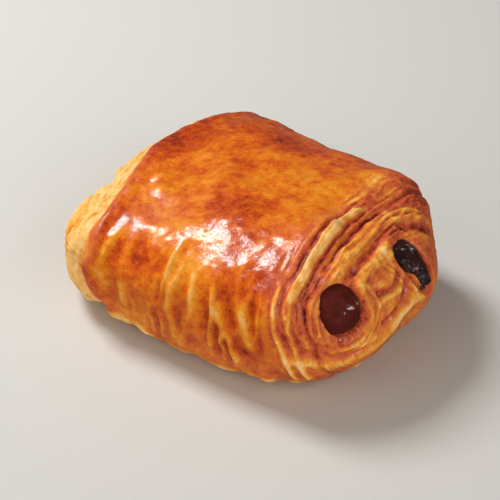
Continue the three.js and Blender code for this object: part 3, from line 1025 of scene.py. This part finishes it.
def colour_ramp(tree, x, y, source, stops):
    ramp = node(tree, "ShaderNodeValToRGB", x, y)
    points = ramp.color_ramp.elements
    while len(points) < len(stops):
        points.new(0.5)
    for point, (place, colour) in zip(points, stops):
        point.position = place
        point.color = colour
    tree.links.new(source, ramp.inputs["Fac"])
    return ramp.outputs["Color"]


# Colours by how brown the crust is, painted shade included: under the egg wash, and where there is none
BAKE_COLOURS = [
    (0.0, linear(238, 176, 96)),
    (0.16, linear(234, 152, 40)),
    (0.34, linear(226, 126, 14)),
    (0.5, linear(212, 94, 8)),
    (0.68, linear(180, 60, 8)),
    (0.84, linear(126, 34, 10)),
    (1.0, linear(72, 20, 10)),
]
PLAIN_COLOURS = [
    (0.0, linear(247, 201, 130)),
    (0.16, linear(241, 171, 72)),
    (0.34, linear(227, 137, 50)),
    (0.5, linear(214, 112, 56)),
    (0.68, linear(196, 86, 54)),
    (0.84, linear(146, 52, 34)),
    (1.0, linear(80, 28, 18)),
]


def crust_material():
    material, tree = new_material("crust")
    link = tree.links.new
    place = node(tree, "ShaderNodeTexCoord", -1600, 0)
    bake_and_shade = node(tree, "ShaderNodeAttribute", -1600, 300, attribute_name="bake_and_shade")
    wash = node(tree, "ShaderNodeAttribute", -620, -650, attribute_name="wash")
    mottle = texture(tree, -1400, 100, place, Scale=420.0, Detail=6.0, Roughness=0.72)
    specks = texture(tree, -1400, -250, place, Scale=1150.0, Detail=3.0, Roughness=0.6)
    grain = texture(tree, -800, -500, place, Scale=900.0, Detail=3.0, Roughness=0.5)
    spread = map_range(tree, -1200, 100, mottle, 0.3, 0.7, -0.17, 0.17)
    dark = map_range(tree, -800, -250, specks, 0.52, 0.7, 0.0, 0.16)
    browned_and_shaded = combine(tree, -1000, 200, "ADD", bake_and_shade.outputs["Fac"], spread)
    total = combine(tree, -620, 100, "ADD", browned_and_shaded, dark)
    plain = colour_ramp(tree, -420, 420, total, PLAIN_COLOURS)
    washed = colour_ramp(tree, -420, 200, total, BAKE_COLOURS)
    colour = node(tree, "ShaderNodeMix", -240, 300, data_type="RGBA")
    link(wash.outputs["Fac"], colour.inputs[MIX_FACTOR])
    link(plain, colour.inputs[MIX_A])
    link(washed, colour.inputs[MIX_B])
    rough = map_range(tree, -420, -60, total, 0.1, 0.6, 0.6, 0.36)
    height = combine(tree, -620, -450, "SUBTRACT", grain, dark)
    normal = bump(tree, -420, -400, height, 0.3, 0.0002)
    worn = map_range(tree, -620, -850, specks, 0.44, 0.62, 1.0, 0.35)
    shine = combine(tree, -420, -700, "MULTIPLY", wash.outputs["Fac"], worn)
    shader = node(tree, "ShaderNodeBsdfPrincipled", -100, 100)
    shader.inputs["Specular IOR Level"].default_value = 0.12
    shader.inputs["Coat Roughness"].default_value = 0.14
    shader.inputs["Coat IOR"].default_value = 1.44
    shader.inputs["Subsurface Weight"].default_value = 0.06
    shader.inputs["Subsurface Radius"].default_value = (0.0022, 0.001, 0.0005)
    shader.inputs["Subsurface Scale"].default_value = 1.0
    link(colour.outputs[MIX_RESULT], shader.inputs["Base Color"])
    link(rough, shader.inputs["Roughness"])
    link(shine, shader.inputs["Coat Weight"])
    link(normal, shader.inputs["Normal"])
    link(normal, shader.inputs["Coat Normal"])
    show(tree, 200, 100, shader)
    return material


# The colour of the painted shade spots on the chocolate
PAINTED_SHADE_COLOUR = linear(26, 9, 8)


def chocolate_material(name, deep, light, gloss, roughness, grain_size, grain_strength):
    material, tree = new_material(name)
    link = tree.links.new
    place = node(tree, "ShaderNodeTexCoord", -900, 0)
    painted_shade = node(tree, "ShaderNodeAttribute", -900, 300, attribute_name="painted_shade")
    bloom = texture(tree, -700, 100, place, Scale=300.0, Detail=4.0)
    grain = texture(tree, -700, -200, place, Scale=grain_size, Detail=5.0)
    # The painted shade spot darkens the chocolate's colour
    darker = map_range(tree, -700, 300, painted_shade.outputs["Fac"], 0.0, 1.0, 0.0, 0.32)
    depth = combine(tree, -560, 200, "SUBTRACT", bloom, darker)
    colour = colour_ramp(tree, -400, 150, depth, [(0.1, PAINTED_SHADE_COLOUR), (0.35, deep), (0.7, light)])
    normal = bump(tree, -450, -200, grain, grain_strength, 0.0004)
    shader = node(tree, "ShaderNodeBsdfPrincipled", -150, 100, Roughness=roughness)
    shader.inputs["Specular IOR Level"].default_value = gloss
    link(colour, shader.inputs["Base Color"])
    link(normal, shader.inputs["Normal"])
    show(tree, 150, 100, shader)
    return material


def dress(piece, material, slot, *nodes):
    piece.data.materials.clear()
    piece.data.materials.append(material)
    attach(piece, "root")
    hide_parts(*nodes)


# Stage, camera and lights
def view_axes():
    azimuth, elevation = math.radians(CAMERA_AZIMUTH), math.radians(CAMERA_ELEVATION)
    back = Vector((math.sin(azimuth) * math.cos(elevation),
                   -math.cos(azimuth) * math.cos(elevation),
                   math.sin(elevation)))
    right = Vector((math.cos(azimuth), math.sin(azimuth), 0))
    return back, right, back.cross(right)


def add_camera():
    back, right, up = view_axes()
    aim = Vector((-MIDDLE[0] / 1000, -MIDDLE[1] / 1000, AIM_HEIGHT - FLAT / 1000))
    metres = CAMERA_DISTANCE / FOCAL_PIXELS
    aim += right * (FRAME_PIXELS / 2 - AIM_PIXEL[0]) * metres
    aim += up * (AIM_PIXEL[1] - FRAME_PIXELS / 2) * metres
    data = bpy.data.cameras.new("camera")
    data.sensor_width = SENSOR_WIDTH
    data.lens = FOCAL_PIXELS / FRAME_PIXELS * data.sensor_width
    data.clip_start = CLIP_START
    data.clip_end = CLIP_END
    camera = bpy.data.objects.new("camera", data)
    bpy.context.scene.collection.objects.link(camera)
    turn = Matrix((right, up, back)).transposed()
    camera.matrix_world = Matrix.Translation(aim + back * CAMERA_DISTANCE) @ turn.to_4x4()
    bpy.context.scene.camera = camera


def area_light(name, direction, distance, width, height, power, colour=WHITE):
    data = bpy.data.lights.new(name, "AREA")
    data.shape = "RECTANGLE"
    data.size, data.size_y = width, height
    data.energy = power
    data.color = colour
    light = bpy.data.objects.new(name, data)
    bpy.context.scene.collection.objects.link(light)
    back = Vector(direction).normalized()
    light.location = back * distance + Vector((0, 0, LIGHT_TARGET))
    light.rotation_mode = "QUATERNION"
    light.rotation_quaternion = back.to_track_quat("Z", "Y")
    return light


def add_table():
    r = TABLE_REACH
    mesh = bpy.data.meshes.new("table")
    mesh.from_pydata([(-r, -r, 0), (r, -r, 0), (r, r, 0), (-r, r, 0)], [], [(0, 1, 2, 3)])
    table = bpy.data.objects.new("table", mesh)
    bpy.context.scene.collection.objects.link(table)
    material = bpy.data.materials.new("table")
    material.use_nodes = True
    shader = material.node_tree.nodes["Principled BSDF"]
    shader.inputs["Base Color"].default_value = TABLE_COLOUR
    shader.inputs["Roughness"].default_value = TABLE_ROUGHNESS
    mesh.materials.append(material)
    return table


def add_world():
    world = bpy.data.worlds.new("studio")
    bpy.context.scene.world = world
    world.use_nodes = True
    background = world.node_tree.nodes["Background"]
    background.inputs["Color"].default_value = WORLD_COLOUR
    background.inputs["Strength"].default_value = WORLD_STRENGTH


def add_stage():
    """A key light for the highlights, two fills, and a glint for the chocolate.

    The photograph's surroundings are dark, so the fills and the table show in no reflection.
    """
    table = add_table()
    add_world()
    area_light("key", (-0.63, -0.03, 0.775), 0.75, 0.22, 0.3, 5.2)
    left_fill = area_light("left fill", (-0.12, -0.95, 0.4), 1.0, 1.3, 1.0, 4.6, WARM_WHITE)
    right_fill = area_light("right fill", (0.95, -0.15, 0.45), 1.0, 1.0, 1.0, 5.6, WARM_WHITE)
    for unseen in (table, left_fill, right_fill):
        unseen.visible_glossy = False
    glint = area_light("glint", (0.82, 0.12, 0.56), 0.8, 0.09, 0.09, 2.6)
    glint.visible_diffuse = False
    bpy.context.scene.view_settings.view_transform = "Standard"


crust = make_pastry()
dress(crust, crust_material(), "crust", "pastry")
smooth_chocolate = chocolate_material(
    "smooth_chocolate", deep=linear(74, 23, 18), light=linear(98, 36, 29),
    gloss=0.14, roughness=0.2, grain_size=260.0, grain_strength=0.3,
)
left_chocolate = make_bar("left_chocolate", LEFT_BAR, smooth_dome)
dress(left_chocolate, smooth_chocolate, "chocolate", "chocolate_left")
broken_chocolate = chocolate_material(
    "broken_chocolate", deep=linear(30, 11, 9), light=linear(56, 24, 18),
    gloss=0.45, roughness=0.13, grain_size=800.0, grain_strength=0.9,
)
right_chocolate = make_bar("right_chocolate", RIGHT_BAR, craggy_end)
dress(right_chocolate, broken_chocolate, "chocolate", "chocolate_right")
add_stage()
add_camera()
